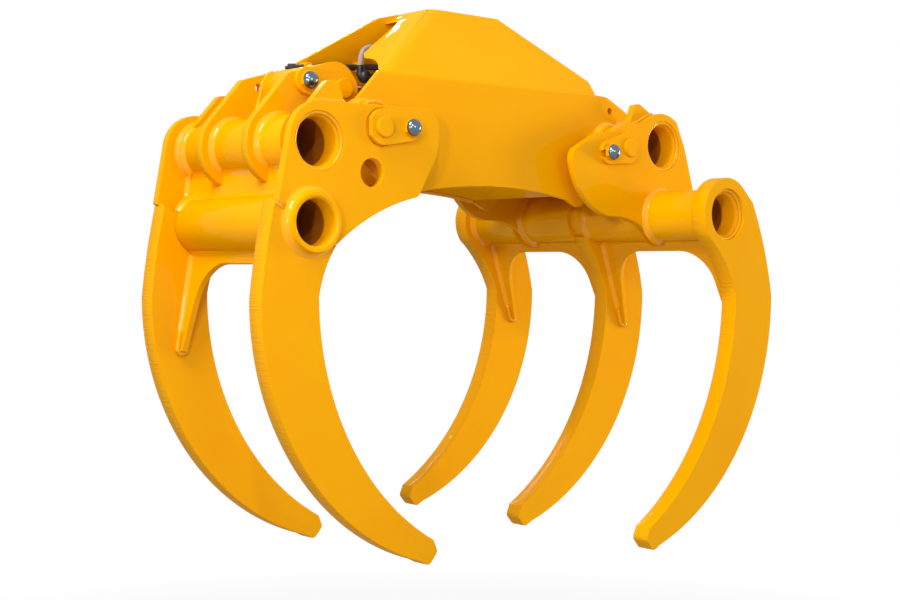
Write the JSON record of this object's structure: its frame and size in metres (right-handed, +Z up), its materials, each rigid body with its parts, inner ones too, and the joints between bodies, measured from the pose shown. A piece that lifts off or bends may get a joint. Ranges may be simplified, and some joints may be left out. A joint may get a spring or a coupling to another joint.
{
  "type": "log grapple",
  "caption": "Hydraulic log grapple: two-tine and three-tine curved jaws, linked by a level cylinder, hung on pins under a folded yellow casing with a top flange.",
  "frame": {"origin": "middle of the flange's top face", "axes": "+Z up, X along the jaw opening, Y along the jaw pivots; the casing's front is -Y"},
  "size_m": [1.286, 0.822, 1.1579],
  "materials": {
    "yellow_paint": "gloss",
    "zinc": "bright plated",
    "bronze": "machined",
    "black_rubber": "smooth",
    "braid": "woven sleeve",
    "plated_steel": "zinc plated",
    "dark_steel": "black oxide",
    "chrome": "polished",
    "iron": "machined"
  },
  "bodies": {
    "casing": {"front_sheet": "yellow_paint", "rear_sheet": "yellow_paint", "flange_plate": "yellow_paint", "belly_plate": "yellow_paint", "outer_bosses": "yellow_paint", "inner_bosses": "yellow_paint", "pivot_bushes": "bronze", "black_hose": "black_rubber", "black_hose_ends": "black_rubber", "hose_clips": "yellow_paint"},
    "left_jaw": {"left_bridge": "yellow_paint", "left_cylinder_pin": "yellow_paint", "left_cylinder_pin_plate": "yellow_paint", "left_ear_bosses": "yellow_paint", "left_ear_front": "yellow_paint", "left_ear_rear": "yellow_paint", "left_lower_tube": "yellow_paint", "left_lug_front": "yellow_paint", "left_lug_rear": "yellow_paint", "left_lug_web": "yellow_paint", "left_pin_nuts": "zinc", "left_pin_plates": "yellow_paint", "left_pivot_pins": "yellow_paint", "left_ribs": "yellow_paint", "left_tine_front": "yellow_paint", "left_tine_rear": "yellow_paint", "left_tube_web": "yellow_paint", "left_upper_tube": "yellow_paint"},
    "right_jaw": {"right_bridges": "yellow_paint", "right_cylinder_pin": "yellow_paint", "right_cylinder_pin_plate": "yellow_paint", "right_ear_bosses": "yellow_paint", "right_ear_front": "yellow_paint", "right_ear_rear": "yellow_paint", "right_lower_tube": "yellow_paint", "right_lug_front": "yellow_paint", "right_lug_rear": "yellow_paint", "right_lug_web": "yellow_paint", "right_pin_nuts": "zinc", "right_pin_plates": "yellow_paint", "right_pivot_pins": "yellow_paint", "right_ribs": "yellow_paint", "right_tine_front": "yellow_paint", "right_tine_middle": "yellow_paint", "right_tine_rear": "yellow_paint", "right_tube_web": "yellow_paint", "right_upper_tube": "yellow_paint"},
    "barrel": {"barrel_eye": "yellow_paint", "barrel_bush": "bronze", "cylinder_barrel": "yellow_paint", "cylinder_gland": "plated_steel", "barrel_ports": "dark_steel", "port_elbow": "dark_steel", "port_plug": "plated_steel", "braided_hose": "braid", "braided_hose_cap": "plated_steel"},
    "rod": {"cylinder_rod": "chrome", "cylinder_piston": "iron", "rod_eye": "yellow_paint", "rod_bush": "bronze"}
  },
  "joints": [
    {"name": "jaw_right", "type": "hinge", "parent": "casing", "child": "right_jaw", "pos_m": [0.36, 0, -0.282], "axis": [0, -1, 0], "range_deg": [-30, 42]},
    {"name": "jaw_left", "type": "hinge", "parent": "casing", "child": "left_jaw", "pos_m": [-0.36, 0, -0.282], "axis": [0, 1, 0], "range_deg": [-30, 42]},
    {"name": "barrel_swing", "type": "hinge", "parent": "right_jaw", "child": "barrel", "pos_m": [0.3643, 0, -0.196], "axis": [0, -1, 0], "range_deg": [-42.1, 30.1]},
    {"name": "rod_slide", "type": "slide", "parent": "barrel", "child": "rod", "axis": [1, 0, 0], "range_m": [-0.085, 0.1185]}
  ],
  "couplings": [
    {"joint": "jaw_left", "follows": "jaw_right", "ratio": 1},
    {"joint": "barrel_swing", "follows": "jaw_right", "ratio": -1},
    {"joint": "rod_slide", "follows": "jaw_right", "m_per_rad": 0.161}
  ]
}
